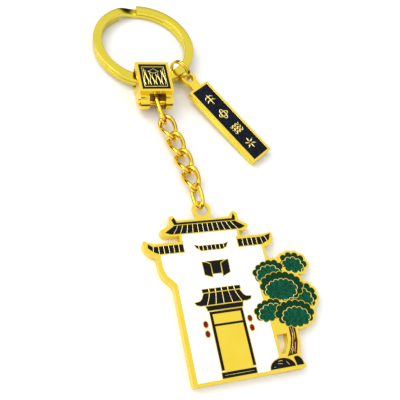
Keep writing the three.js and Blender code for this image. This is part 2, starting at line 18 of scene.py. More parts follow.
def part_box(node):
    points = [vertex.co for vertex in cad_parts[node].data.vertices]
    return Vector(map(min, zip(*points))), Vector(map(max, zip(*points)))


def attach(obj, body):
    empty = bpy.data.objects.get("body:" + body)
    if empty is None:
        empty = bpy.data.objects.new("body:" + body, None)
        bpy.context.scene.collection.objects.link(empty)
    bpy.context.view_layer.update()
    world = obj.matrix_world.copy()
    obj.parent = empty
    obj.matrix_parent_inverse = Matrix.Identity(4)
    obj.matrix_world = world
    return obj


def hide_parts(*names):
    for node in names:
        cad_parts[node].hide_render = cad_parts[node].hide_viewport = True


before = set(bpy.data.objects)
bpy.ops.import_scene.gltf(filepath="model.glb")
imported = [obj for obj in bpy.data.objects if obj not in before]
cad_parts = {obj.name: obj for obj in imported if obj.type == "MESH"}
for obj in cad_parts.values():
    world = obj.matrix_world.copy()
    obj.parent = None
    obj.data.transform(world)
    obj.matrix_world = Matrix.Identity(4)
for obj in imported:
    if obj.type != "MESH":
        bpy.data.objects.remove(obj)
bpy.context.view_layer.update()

LOG = logging.getLogger("keychain")
MM = 0.001
PLATE_LEFT = -26.7

Point = tuple[float, float]
Shape = bmesh.types.BMesh


def pendant_frame() -> Matrix:
    """The matrix from the pendant's own frame in millimetres to the row frame in metres.

    Returns:
        A scale to metres and a shift that puts the plate's low corner where the CAD plate has it.
    """
    low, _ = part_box("pendant_plate")
    return Matrix.Translation((low.x - PLATE_LEFT * MM, low.y, 0.0)) @ Matrix.Scale(MM, 4)


TO_ROW = pendant_frame()


class Body(Enum):
    """The bodies that pieces ride on."""

    RING = "split_ring"
    CONNECTOR = "connector"
    TOP_LINK = "chain_link_top"
    CURB_1 = "curb_link_1"
    CURB_2 = "curb_link_2"
    CURB_3 = "curb_link_3"
    CURB_4 = "curb_link_4"
    BOTTOM_LINK = "chain_link_bottom"
    PENDANT = "pendant"
    TAG_RING = "tag_ring"
    TAG = "tag"


class Slot(Enum):
    """The record's material slots."""

    WIRE = "gold_plated_wire"
    CASTING = "gold_plated_casting"
    BLACK = "black_enamel"
    NAVY = "navy_enamel"
    WHITE = "white_enamel"
    GREEN = "green_enamel"
    RED = "red_enamel"
    BROWN = "brown_enamel"


def linear(colour: str) -> tuple[float, float, float, float]:
    """Turns an sRGB hex colour to linear light.

    Args:
        colour: Six hex digits after a hash.

    Returns:
        Red, green, blue and an alpha of one.
    """
    channels = [int(colour[place : place + 2], 16) / 255 for place in (1, 3, 5)]
    light = [c / 12.92 if c <= 0.04045 else ((c + 0.055) / 1.055) ** 2.4 for c in channels]
    return (light[0], light[1], light[2], 1.0)


def add_node(
    tree: bpy.types.NodeTree,
    kind: str,
    settings: dict[str, Any] | None = None,
    inputs: dict[str | int, Any] | None = None,
) -> bpy.types.Node:
    """Adds a node, sets it and links or sets its inputs.

    Args:
        tree: The node tree that takes it.
        kind: The node's type name.
        settings: Attributes of the node.
        inputs: A value or an output socket for each named or numbered input.

    Returns:
        The node.
    """
    node = tree.nodes.new(kind)
    for name, value in (settings or {}).items():
        setattr(node, name, value)
    for name, value in (inputs or {}).items():
        if isinstance(value, bpy.types.NodeSocket):
            tree.links.new(value, node.inputs[name])
        else:
            node.inputs[name].default_value = value
    return node


def new_material(name: str) -> tuple[bpy.types.Material, bpy.types.NodeTree, bpy.types.NodeSocket]:
    """Starts an empty node material.

    Args:
        name: The finish's name.

    Returns:
        The material, its node tree, and the object's own coordinates in metres.
    """
    material = bpy.data.materials.new(name)
    material.use_nodes = True
    tree = material.node_tree
    tree.nodes.clear()
    place = add_node(tree, "ShaderNodeTexCoord").outputs["Object"]
    return material, tree, place


def close_material(tree: bpy.types.NodeTree, shader: bpy.types.Node) -> None:
    """Links a shader to the material's output.

    Args:
        tree: The material's node tree.
        shader: The node whose first output is the surface.
    """
    add_node(tree, "ShaderNodeOutputMaterial", inputs={"Surface": shader.outputs[0]})


def per_metre(feature_mm: float) -> float:
    """The texture scale at which one pattern cell measures the given millimetres."""
    return 1.0 / (feature_mm * MM)


def blended(tree: bpy.types.NodeTree, share: Any, first: Any, second: Any) -> bpy.types.Node:
    """Mixes two colours by a share, and returns the mixing node, whose colour is its output 2."""
    return add_node(tree, "ShaderNodeMix", {"data_type": "RGBA"}, {0: share, 6: first, 7: second})


def noise(tree: bpy.types.NodeTree, place: Any, cell_mm: float, detail: float) -> bpy.types.Node:
    """A soft cloud pattern whose cells measure the given millimetres."""
    inputs = {"Vector": place, "Scale": per_metre(cell_mm), "Detail": detail}
    return add_node(tree, "ShaderNodeTexNoise", inputs=inputs)


@dataclass(frozen=True)
class GoldPlating:
    """Electroplated gold over polished metal: a bright yellow mirror with slight polishing waves."""

    name: str
    slot: Slot
    colour: str
    pale: str
    roughness: tuple[float, float]
    wave_mm: float
    wave_depth_mm: float
    grain_mm: float = 0.5

    def build(self) -> bpy.types.Material:
        """Makes the material.

        Returns:
            A metal whose tint, roughness and waviness vary over the surface.
        """
        material, tree, place = new_material(self.name)
        waves = noise(tree, place, self.wave_mm, 1.0)
        grain = noise(tree, place, self.grain_mm, 3.0)
        tint = blended(tree, waves.outputs["Fac"], linear(self.colour), linear(self.pale))
        gloss = add_node(
            tree,
            "ShaderNodeMapRange",
            inputs={
                "Value": grain.outputs["Fac"],
                "From Min": 0.35,
                "From Max": 0.65,
                "To Min": self.roughness[0],
                "To Max": self.roughness[1],
            },
        )
        bump = add_node(
            tree,
            "ShaderNodeBump",
            inputs={"Height": waves.outputs["Fac"], "Distance": self.wave_depth_mm * MM, "Strength": 1.0},
        )
        metal = add_node(
            tree,
            "ShaderNodeBsdfPrincipled",
            inputs={
                "Base Color": tint.outputs[2],
                "Metallic": 1.0,
                "Roughness": gloss.outputs[0],
                "Normal": bump.outputs[0],
            },
        )
        close_material(tree, metal)
        return material


@dataclass(frozen=True)
class Enamel:
    """Hard enamel, ground level and polished: a deep flat colour under a faintly rippled glassy skin."""

    name: str
    slot: Slot
    colour: str
    shade: str
    roughness: float = 0.12
    sheen: float = 0.1
    peel_mm: float = 1.4
    peel_depth_mm: float = 0.004

    def build(self) -> bpy.types.Material:
        """Makes the material.

        Returns:
            A glossy colour with slow changes of shade.
        """
        material, tree, place = new_material(self.name)
        peel = noise(tree, place, self.peel_mm, 2.0)
        colour = blended(tree, peel.outputs["Fac"], linear(self.colour), linear(self.shade))
        bump = add_node(
            tree,
            "ShaderNodeBump",
            inputs={"Height": peel.outputs["Fac"], "Distance": self.peel_depth_mm * MM, "Strength": 1.0},
        )
        glass = add_node(
            tree,
            "ShaderNodeBsdfPrincipled",
            inputs={
                "Base Color": colour.outputs[2],
                "Roughness": self.roughness,
                "IOR": 1.5,
                "Specular IOR Level": self.sheen,
                "Normal": bump.outputs[0],
            },
        )
        close_material(tree, glass)
        return material


@dataclass(frozen=True)
class GlitterEnamel:
    """Epoxy enamel with fine flakes in it: a dark colour that sparkles in small points."""

    name: str
    slot: Slot
    colour: str
    shade: str
    flake: str
    flake_mm: float = 0.2
    flake_share: float = 0.22
    roughness: float = 0.3
    sheen: float = 0.1

    def build(self) -> bpy.types.Material:
        """Makes the material.

        Returns:
            A colour with scattered metallic flakes, each tilted its own way, under a clear coat.
        """
        material, tree, place = new_material(self.name)
        cloud = noise(tree, place, 0.9, 3.0)
        ground = blended(tree, cloud.outputs["Fac"], linear(self.colour), linear(self.shade))
        cells = add_node(
            tree,
            "ShaderNodeTexVoronoi",
            inputs={"Vector": place, "Scale": per_metre(self.flake_mm)},
        )
        chance = add_node(tree, "ShaderNodeSeparateColor", inputs={0: cells.outputs["Color"]})
        is_flake = add_node(
            tree,
            "ShaderNodeMath",
            {"operation": "LESS_THAN"},
            {0: chance.outputs[0], 1: self.flake_share},
        )
        colour = blended(tree, is_flake.outputs[0], ground.outputs[2], linear(self.flake))
        metallic = add_node(
            tree,
            "ShaderNodeMath",
            {"operation": "MULTIPLY"},
            {0: is_flake.outputs[0], 1: 0.6},
        )
        bump = add_node(
            tree,
            "ShaderNodeBump",
            inputs={"Height": chance.outputs[1], "Distance": 0.02 * MM, "Strength": 0.5},
        )
        resin = add_node(
            tree,
            "ShaderNodeBsdfPrincipled",
            inputs={
                "Base Color": colour.outputs[2],
                "Metallic": metallic.outputs[0],
                "Roughness": self.roughness,
                "IOR": 1.5,
                "Specular IOR Level": self.sheen,
                "Normal": bump.outputs[0],
            },
        )
        close_material(tree, resin)
        return material


Finish = GoldPlating | Enamel | GlitterEnamel

# Each gold has two tints, its roughness from polished to worn spots, and the size and depth of its waves in
# millimetres. Castings come out of the bath the brightest, and their flat tops mirror the light.
CAST_GOLD = GoldPlating("gold_plated_die_casting", Slot.CASTING, "#f0cf3a", "#f7dc52", (0.1, 0.2), 5.0, 0.02)
# Lines a fraction of a millimetre wide scatter the light, so they look paler and softer than a wide face.
LINE_GOLD = GoldPlating("gold_plated_cell_lines", Slot.CASTING, "#f3dc6c", "#fbeb9a", (0.15, 0.28), 2.0, 0.01)
# Rolled steel band under thin plating: a cooler, greener yellow with long smooth highlights.
RING_GOLD = GoldPlating("gold_plated_spring_steel", Slot.WIRE, "#dcc83c", "#e6d24e", (0.08, 0.18), 6.0, 0.03)
# Drawn wire: the smoothest and warmest of the four, with tight highlights along each bend.
LINK_GOLD = GoldPlating("gold_plated_chain_wire", Slot.WIRE, "#eec63a", "#f5d755", (0.07, 0.15), 3.0, 0.02)
# Enamels are flat in colour and ground level, so the eye gets an even field with one faint glassy sheen.
BLACK = Enamel("black_hard_enamel", Slot.BLACK, "#0c0c10", "#16161c")
WHITE = Enamel("white_hard_enamel", Slot.WHITE, "#fbfbf9", "#f6f6f3", roughness=0.2)
RED = Enamel("red_hard_enamel", Slot.RED, "#8a120c", "#6d0d0a")
BROWN = Enamel("brown_hard_enamel", Slot.BROWN, "#5a2a1c", "#3c1a12", peel_mm=0.7)
# Glitter enamels hold flakes of some 0.05 to 0.1 mm. They are drawn at 0.2 to 0.3 mm, coarser than life,
# because finer ones would average out to a flat colour at this distance.
DARK_LEAF = GlitterEnamel("dark_green_glitter_enamel", Slot.GREEN, "#0a3a1c", "#04240f", "#0d4a2a")
LEAF = GlitterEnamel("green_glitter_enamel", Slot.GREEN, "#04401f", "#033a26", "#0a6a50", flake_share=0.3)
NAVY = GlitterEnamel("blue_black_glitter_enamel", Slot.NAVY, "#080b18", "#050609", "#18243c", 0.3, 0.3)


class Paintbox:
    """Makes each finish's material once and hands it out."""

    def __init__(self) -> None:
        """Starts with no material made."""
        self._made: dict[str, bpy.types.Material] = {}

    def of(self, finish: Finish) -> bpy.types.Material:
        """The material of a finish, made when it is first asked for."""
        if finish.name not in self._made:
            self._made[finish.name] = finish.build()
        return self._made[finish.name]


PAINTS = Paintbox()


def into_piece(
    shape: Shape,
    name: str,
    body: Body,
    finish: Finish,
    stands_for: Sequence[str] = (),
    place: Matrix = TO_ROW,
    crease: float = 35.0,
    edge_mm: float = 0.0,
) -> bpy.types.Object:
    """Turns a shape into a dressed piece that rides on its body.

    Args:
        shape: The shape, which is used up.
        name: The piece's name.
        body: What it moves with.
        finish: What it is coated with.
        stands_for: The CAD nodes that it replaces.
        place: The matrix that puts the shape into the row frame.
        crease: The angle in degrees above which an edge is shaded sharp.
        edge_mm: The rounding of its sharp edges, or zero for none.

    Returns:
        The piece.
    """
    shape.transform(place)
    mesh = bpy.data.meshes.new(name)
    shape.to_mesh(mesh)
    shape.free()
    mesh.polygons.foreach_set("use_smooth", [True] * len(mesh.polygons))
    mesh.set_sharp_from_angle(angle=math.radians(crease))
    mesh.materials.append(PAINTS.of(finish))
    piece = bpy.data.objects.new(name, mesh)
    bpy.context.scene.collection.objects.link(piece)
    if edge_mm:
        rounding = piece.modifiers.new("edges", "BEVEL")
        rounding.width = edge_mm * MM
        rounding.segments = 2
        rounding.limit_method = "ANGLE"
        rounding.angle_limit = math.radians(crease)
        rounding.use_clamp_overlap = True
        rounding.harden_normals = True
    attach(piece, body.value)
    if stands_for:
        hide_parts(*stands_for)
    LOG.info("%s rides on %s", name, body.value)
    return piece


def seal(shape: Shape, merge: float = 1e-4) -> Shape:
    """Merges doubles, closes open ends and turns all faces outwards."""
    bmesh.ops.remove_doubles(shape, verts=shape.verts, dist=merge)
    bmesh.ops.holes_fill(shape, edges=[edge for edge in shape.edges if edge.is_boundary], sides=0)
    bmesh.ops.recalc_face_normals(shape, faces=shape.faces)
    return shape


def from_node(node: str) -> Shape:
    """A merged copy of a CAD node in the pendant's frame, with its flat faces whole again.

    Args:
        node: The CAD node's name.

    Returns:
        The copy, in millimetres.
    """
    shape = bmesh.new()
    shape.from_mesh(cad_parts[node].data)
    shape.transform(TO_ROW.inverted())
    bmesh.ops.remove_doubles(shape, verts=shape.verts, dist=2e-3)
    bmesh.ops.dissolve_limit(
        shape, angle_limit=math.radians(0.6), verts=shape.verts, edges=shape.edges, delimit={"NORMAL"}
    )
    return shape


def push_walls(shape: Shape, distance: float, verts: Iterable[bmesh.types.BMVert] | None = None) -> None:
    """Moves the upright walls of a flat shape outwards.

    Args:
        shape: A shape whose walls are upright.
        distance: How far in millimetres, negative for inwards.
        verts: The vertices to move, or all of them.
    """
    moves: list[tuple[bmesh.types.BMVert, Vector]] = []
    for vert in verts if verts is not None else shape.verts:
        facings: list[Vector] = []
        for face in vert.link_faces:
            flat = Vector((face.normal.x, face.normal.y, 0.0))
            if flat.length > 0.7 and all(flat.normalized().dot(other) < 0.999 for other in facings):
                facings.append(flat.normalized())
        if len(facings) == 1:
            moves.append((vert, facings[0] * distance))
        elif len(facings) > 1:
            total = facings[0] + facings[1]
            moves.append((vert, total * (distance / max(1.0 + facings[0].dot(facings[1]), 0.4))))
    for vert, move in moves:
        vert.co += move


def prism(outline: Sequence[Point], low: float, high: float) -> Shape:
    """An upright solid over an outline.

    Args:
        outline: The corners in order.
        low: The height of its base.
        high: The height of its top.

    Returns:
        The solid.
    """
    shape = bmesh.new()
    face = shape.faces.new([shape.verts.new((x, y, low)) for x, y in outline])
    raised = bmesh.ops.extrude_face_region(shape, geom=[face])
    tops = [item for item in raised["geom"] if isinstance(item, bmesh.types.BMVert)]
    bmesh.ops.translate(shape, vec=(0.0, 0.0, high - low), verts=tops)
    return seal(shape)


def turned(profile: Sequence[Point], steps: int = 40) -> Shape:
    """A solid of revolution about the X axis.

    Args:
        profile: Places along the axis with the radius at each, ending on the axis at both ends.
        steps: How many faces go round.

    Returns:
        The solid.
    """
    shape = bmesh.new()
    verts = [shape.verts.new((x, 0.0, radius)) for x, radius in profile]
    edges = [shape.edges.new(pair) for pair in zip(verts, verts[1:])]
    bmesh.ops.spin(
        shape,
        geom=[*verts, *edges],
        cent=(0.0, 0.0, 0.0),
        axis=(1.0, 0.0, 0.0),
        angle=2 * math.pi,
        steps=steps,
        use_merge=True,
    )
    return seal(shape)


@dataclass(frozen=True)
class Stroke:
    """One drawn line: its points, half its width at each, and whether it closes on itself."""

    points: tuple[Point, ...]
    halves: tuple[float, ...] = (0.12,)
    closed: bool = False
    straight: bool = False

    def half_at(self, place: int) -> float:
        """Half the line's width at a point, the last given one running on to the end."""
        return self.halves[min(place, len(self.halves) - 1)]


def drawn(strokes: Sequence[Stroke], height: float, flatness: float = 0.6) -> Shape:
    """Rounded lines that lie half sunk at a height.

    Args:
        strokes: The lines.
        height: The height of their middles.
        flatness: Their thickness as a share of their width.

    Returns:
        The lines as one shape.
    """
    curve = bpy.data.curves.new("strokes", "CURVE")
    curve.dimensions = "3D"
    curve.bevel_depth = 1.0
    curve.bevel_resolution = 2
    curve.resolution_u = 5
    curve.use_fill_caps = True
    for stroke in strokes:
        spline = curve.splines.new("BEZIER")
        spline.bezier_points.add(len(stroke.points) - 1)
        spline.use_cyclic_u = stroke.closed
        for place, (point, (x, y)) in enumerate(zip(spline.bezier_points, stroke.points)):
            point.co = (x, y, 0.0)
            point.radius = stroke.half_at(place)
            point.handle_left_type = point.handle_right_type = "VECTOR" if stroke.straight else "AUTO"
    holder = bpy.data.objects.new("strokes", curve)
    bpy.context.scene.collection.objects.link(holder)
    graph = bpy.context.evaluated_depsgraph_get()
    mesh = bpy.data.meshes.new_from_object(holder.evaluated_get(graph))
    shape = bmesh.new()
    shape.from_mesh(mesh)
    bpy.data.objects.remove(holder)
    bpy.data.curves.remove(curve)
    bpy.data.meshes.remove(mesh)
    bmesh.ops.scale(shape, vec=(1.0, 1.0, flatness), verts=shape.verts)
    bmesh.ops.translate(shape, vec=(0.0, 0.0, height), verts=shape.verts)
    return seal(shape, 1e-5)


def common_part(shape: Shape, other: Shape) -> Shape:
    """What two solids share.

    Args:
        shape: One solid, which is used up.
        other: The other solid, which is used up.

    Returns:
        The shared solid.
    """
    holders = []
    for name, source in (("kept", shape), ("keeper", other)):
        mesh = bpy.data.meshes.new(name)
        source.to_mesh(mesh)
        source.free()
        holders.append(bpy.data.objects.new(name, mesh))
        bpy.context.scene.collection.objects.link(holders[-1])
    cut = holders[0].modifiers.new("common", "BOOLEAN")
    cut.operation = "INTERSECT"
    cut.solver = "EXACT"
    cut.object = holders[1]
    graph = bpy.context.evaluated_depsgraph_get()
    mesh = bpy.data.meshes.new_from_object(holders[0].evaluated_get(graph))
    shared = bmesh.new()
    shared.from_mesh(mesh)
    for used in [*(holder.data for holder in holders), mesh]:
        bpy.data.meshes.remove(used)
    return shared


@dataclass(frozen=True)
class Coil:
    """A ring of two turns of flat band, with a crossover where the upper turn runs down to the lower one."""

    outer_radius: float
    band_width: float
    coil_height: float
    coil_gap: float
    crossover: float
    start_angle: float
    rounding: float
    step: float = 2.0

    def wound(self) -> Shape:
        """Winds the band.

        Returns:
            The ring, round the Z axis and standing on z = 0.
        """
        rise = self.coil_height + self.coil_gap
        shape = bmesh.new()
        inner = self.outer_radius - self.band_width
        corners = [(inner, rise), (self.outer_radius, rise)]
        corners += [(x, z + self.coil_height) for x, z in reversed(corners)]
        shape.faces.new([shape.verts.new((x, 0.0, z)) for x, z in corners])
        bmesh.ops.bevel(
            shape,
            geom=list(shape.verts),
            offset=self.rounding,
            offset_type="OFFSET",
            segments=4,
            profile=0.5,
            affect="VERTICES",
            material=-1,
        )
        turn = Matrix.Rotation(math.radians(self.start_angle), 4, "Z")
        bmesh.ops.transform(shape, matrix=turn, verts=shape.verts)
        leading: list[Any] = [*shape.verts, *shape.edges, *shape.faces]
        count = round(self.crossover / self.step)
        falls = [share * share * (3 - 2 * share) for share in (place / count for place in range(count + 1))]
        full = 360.0 - self.crossover
        stretches = [(full, 0.0)]
        stretches += [(self.step, rise * (before - after)) for before, after in zip(falls, falls[1:])]
        stretches += [(full - 3.0, 0.0)]
        for sweep, drop in stretches:
            spun = bmesh.ops.spin(
                shape,
                geom=leading,
                cent=(0.0, 0.0, 0.0),
                axis=(0.0, 0.0, 1.0),
                dvec=(0.0, 0.0, drop),
                angle=-math.radians(sweep),
                steps=max(1, round(sweep / self.step)),
            )
            leading = spun["geom_last"]
        return seal(shape)


@dataclass
class SplitRing:
    """The split ring, its near side lifted a little by the connector."""

    centre: Point = (-14.9, 105.6)
    lift: float = 1.5
    clearance: float = 0.1
    coil: Coil = Coil(16.0, 2.7, 1.4, 0.1, 24.0, 90.0, 0.16)

    def place(self) -> Matrix:
        """The ring's place in the pendant's frame: tilted about its far edge."""
        radius = self.coil.outer_radius
        tilt = -math.atan2(self.lift, 2 * radius)
        hinge = Matrix.Translation((self.centre[0], self.centre[1] + radius, 0.0))
        return hinge @ Matrix.Rotation(tilt, 4, "X") @ Matrix.Translation((0.0, -radius, self.clearance))

    def build(self) -> None:
        """Makes the ring."""
        shape = self.coil.wound()
        shape.transform(self.place())
        into_piece(shape, "split_ring_coils", Body.RING, RING_GOLD, ["split_ring"], crease=50.0)


@dataclass
class Connector:
    """The square connector: its casting, its enamelled face with a fretted ornament, and its pin."""

    centre: Point = (-15.45, 89.15)
    top: float = 8.0
    enamel_top: float = 7.92
    frame_half: Point = (3.45, 3.6)
    line_half: float = 0.17
    pin_place: tuple[float, float] = (82.7, 3.8)
    pin_radius: float = 0.8
    pin_head: tuple[float, float] = (1.15, 0.45)
    body_half: float = 4.9

    def build(self) -> None:
        """Makes the casting, the inlay, the ornament and the pin."""
        casting = from_node("seal_block")
        into_piece(casting, "connector_casting", Body.CONNECTOR, CAST_GOLD, ["seal_block"], edge_mm=0.16)
        inlay = from_node("seal_enamel")
        push_walls(inlay, 0.05)
        into_piece(inlay, "connector_inlay", Body.CONNECTOR, BLACK, ["seal_enamel"])
        lines = drawn(self.ornament(), self.enamel_top)
        into_piece(lines, "connector_ornament", Body.CONNECTOR, LINE_GOLD, crease=60.0)
        into_piece(self.pin(), "connector_pin", Body.CONNECTOR, LINK_GOLD, ["clevis_pin"])

    def ornament(self) -> list[Stroke]:
        """A square line with a lozenge over rippling reeds inside it.

        Returns:
            The lines.
        """
        (x, y), (wide, high) = self.centre, self.frame_half
        square = Stroke(
            ((x - wide, y - high), (x + wide, y - high), (x + wide, y + high), (x - wide, y + high)),
            (self.line_half,),
            closed=True,
            straight=True,
        )
        strokes = [square]
        for side in (-1, 1):
            for rank, (foot, tall) in enumerate(((0.45, 4.0), (1.35, 4.4), (2.25, 5.3), (3.0, 5.9))):
                bend = 0.22 if rank % 2 else -0.22
                base = y - high + 0.7
                reed = tuple(
                    (x + side * (foot + bend * math.sin(2 * math.pi * share)), base + tall * share)
                    for share in (0.0, 0.25, 0.5, 0.75, 1.0)
                )
                strokes.append(Stroke(reed, (0.12, 0.19, 0.19, 0.17, 0.08)))
        lozenge = ((x - 1.6, y + 1.9), (x, y + 1.2), (x + 1.6, y + 1.9), (x, y + 2.9))
        strokes.append(Stroke(lozenge, (0.12,), closed=True, straight=True))
        return strokes

    def pin(self) -> Shape:
        """The pin with its head on the left and a rounded end on the right.

        Returns:
            The pin in the pendant's frame.
        """
        head_radius, head_thickness = self.pin_head
        left = -self.body_half - 0.1
        right = self.body_half + 0.45
        profile = [
            (left - head_thickness, 0.0),
            (left - head_thickness, head_radius - 0.35),
            (left - head_thickness + 0.1, head_radius - 0.1),
            (left - head_thickness + 0.25, head_radius),
            (left, head_radius),
            (left, self.pin_radius),
            (right - 0.3, self.pin_radius),
            (right - 0.1, self.pin_radius - 0.12),
            (right, self.pin_radius - 0.4),
            (right, 0.0),
        ]
        shape = turned(profile)
        shape.transform(Matrix.Translation((self.centre[0], *self.pin_place)))
        return shape


@dataclass(frozen=True)
class Link:
    """One wire link: half its width and half its length along the wire's middle, the wire, and its twist."""

    body: Body
    half_width: float
    half_length: float
    wire: float
    twist: float
    heading: float
    fall: float
    roll: float

    def middle(self, share: float) -> Vector:
        """The wire's middle at a share of the way round."""
        angle = 2 * math.pi * share
        blend = math.tanh(2.5 * math.sin(angle)) / math.tanh(2.5)
        along = self.half_width * math.sin(angle) + (self.half_length - self.half_width) * blend
        turn = math.radians(self.twist) * math.sin(math.pi * along / (2 * self.half_length))
        side = self.half_width * math.cos(angle)
        return Vector((side * math.cos(turn), along, side * math.sin(turn)))

    def bent(self) -> Shape:
        """Bends a ring of wire onto the link's middle line.

        Returns:
            The link round its own origin, its length along Y.
        """
        ring_radius = 10.0
        shape = bmesh.new()
        upright = Matrix.Translation((ring_radius, 0.0, 0.0)) @ Matrix.Rotation(math.pi / 2, 4, "X")
        bmesh.ops.create_circle(shape, segments=20, radius=self.wire, matrix=upright)
        bmesh.ops.spin(
            shape,
            geom=[*shape.verts, *shape.edges],
            cent=(0.0, 0.0, 0.0),
            axis=(0.0, 0.0, 1.0),
            angle=2 * math.pi,
            steps=96,
            use_merge=True,
        )
        nudge = 1e-3
        for vert in shape.verts:
            share = math.atan2(vert.co.y, vert.co.x) / (2 * math.pi)
            outwards = math.hypot(vert.co.x, vert.co.y) - ring_radius
            centre = self.middle(share)
            along = (self.middle(share + nudge) - self.middle(share - nudge)).normalized()
            outward = (centre - along * centre.dot(along)).normalized()
            vert.co = centre + outward * outwards + outward.cross(along) * vert.co.z
        return seal(shape)

    def down(self) -> Vector:
        """The way that the link runs down the chain."""
        heading, fall = math.radians(self.heading), math.radians(self.fall)
        return Vector(
            (math.sin(heading) * math.cos(fall), -math.cos(heading) * math.cos(fall), -math.sin(fall))
        )

    def lie(self, start: Vector) -> Matrix:
        """The link's place when its upper end starts at a point."""
        up = -self.down()
        normal = (Vector((0.0, 0.0, 1.0)) - up * up.z).normalized()
        normal.rotate(Matrix.Rotation(math.radians(self.roll), 3, up))
        basis = Matrix((up.cross(normal), up, normal)).transposed().to_4x4()
        return Matrix.Translation(start + self.down() * self.half_length) @ basis


@dataclass
class Chain:
    """The curb chain between the connector and the pendant, with a plain link at each end."""

    start: tuple[float, float, float] = (-14.94, 84.6, 4.01)
    wire: float = 0.7
    gap: float = 0.4
    links: list[Link] = field(
        default_factory=lambda: [
            Link(Body.TOP_LINK, 2.1, 4.45, 0.7, 0.0, 9.0, 6.0, 62.0),
            Link(Body.CURB_1, 2.1, 3.825, 0.7, 44.0, 17.0, 6.0, 0.0),
            Link(Body.CURB_2, 2.1, 3.825, 0.7, 44.0, 14.0, 3.0, 0.0),
            Link(Body.CURB_3, 2.1, 3.825, 0.7, 44.0, 11.0, 0.0, 0.0),
            Link(Body.CURB_4, 2.1, 3.825, 0.7, 44.0, 9.0, 0.0, 0.0),
            Link(Body.BOTTOM_LINK, 2.0, 3.65, 0.6, 0.0, 2.0, -2.0, -72.0),
        ]
    )

    def build(self) -> None:
        """Makes the links, each starting inside the one before."""
        start = Vector(self.start)
        for link in self.links:
            shape = link.bent()
            shape.transform(link.lie(start))
            name = link.body.value
            into_piece(shape, f"{name}_wire", link.body, LINK_GOLD, [name], crease=80.0)
            start = start + link.down() * (2 * link.half_length - link.wire - self.gap - self.wire)


@dataclass(frozen=True)
class Clump:
    """The lit part of one cushion of leaves: a tilted oval whose edge carries round lobes."""

    name: str
    centre: Point
    radii: Point
    tilt: float = 0.0
    lobe: float = 0.85
    lobe_steps: int = 6

    def outline(self) -> list[Point]:
        """The lit part's scalloped edge.

        Returns:
            The edge's points in order.
        """
        fine = [self._on_oval(2 * math.pi * place / 720) for place in range(721)]
        lengths = [0.0]
        for one, other in zip(fine, fine[1:]):
            lengths.append(lengths[-1] + math.dist(one, other))
        count = round(lengths[-1] / (1.75 * self.lobe))
        wanted = [lengths[-1] * rank / count for rank in range(count)]
        centres = [fine[next(at for at, length in enumerate(lengths) if length >= goal)] for goal in wanted]
        outline: list[Point] = []
        for rank, (x, y) in enumerate(centres):
            before, after = centres[rank - 1], centres[(rank + 1) % count]
            first = math.atan2(y - before[1], x - before[0])
            first -= math.acos(-math.dist(before, (x, y)) / 2 / self.lobe)
            last = math.atan2(after[1] - y, after[0] - x)
            last -= math.acos(math.dist(after, (x, y)) / 2 / self.lobe)
            span = (last - first) % (2 * math.pi)
            for part in range(1, self.lobe_steps + 1):
                angle = first + span * part / self.lobe_steps
                outline.append((x + self.lobe * math.cos(angle), y + self.lobe * math.sin(angle)))
        return outline

    def _on_oval(self, angle: float) -> Point:
        """The point of the oval at an angle."""
        along, across = self.radii[0] * math.cos(angle), self.radii[1] * math.sin(angle)
        turn = math.radians(self.tilt)
        return (
            self.centre[0] + along * math.cos(turn) - across * math.sin(turn),
            self.centre[1] + along * math.sin(turn) + across * math.cos(turn),
        )


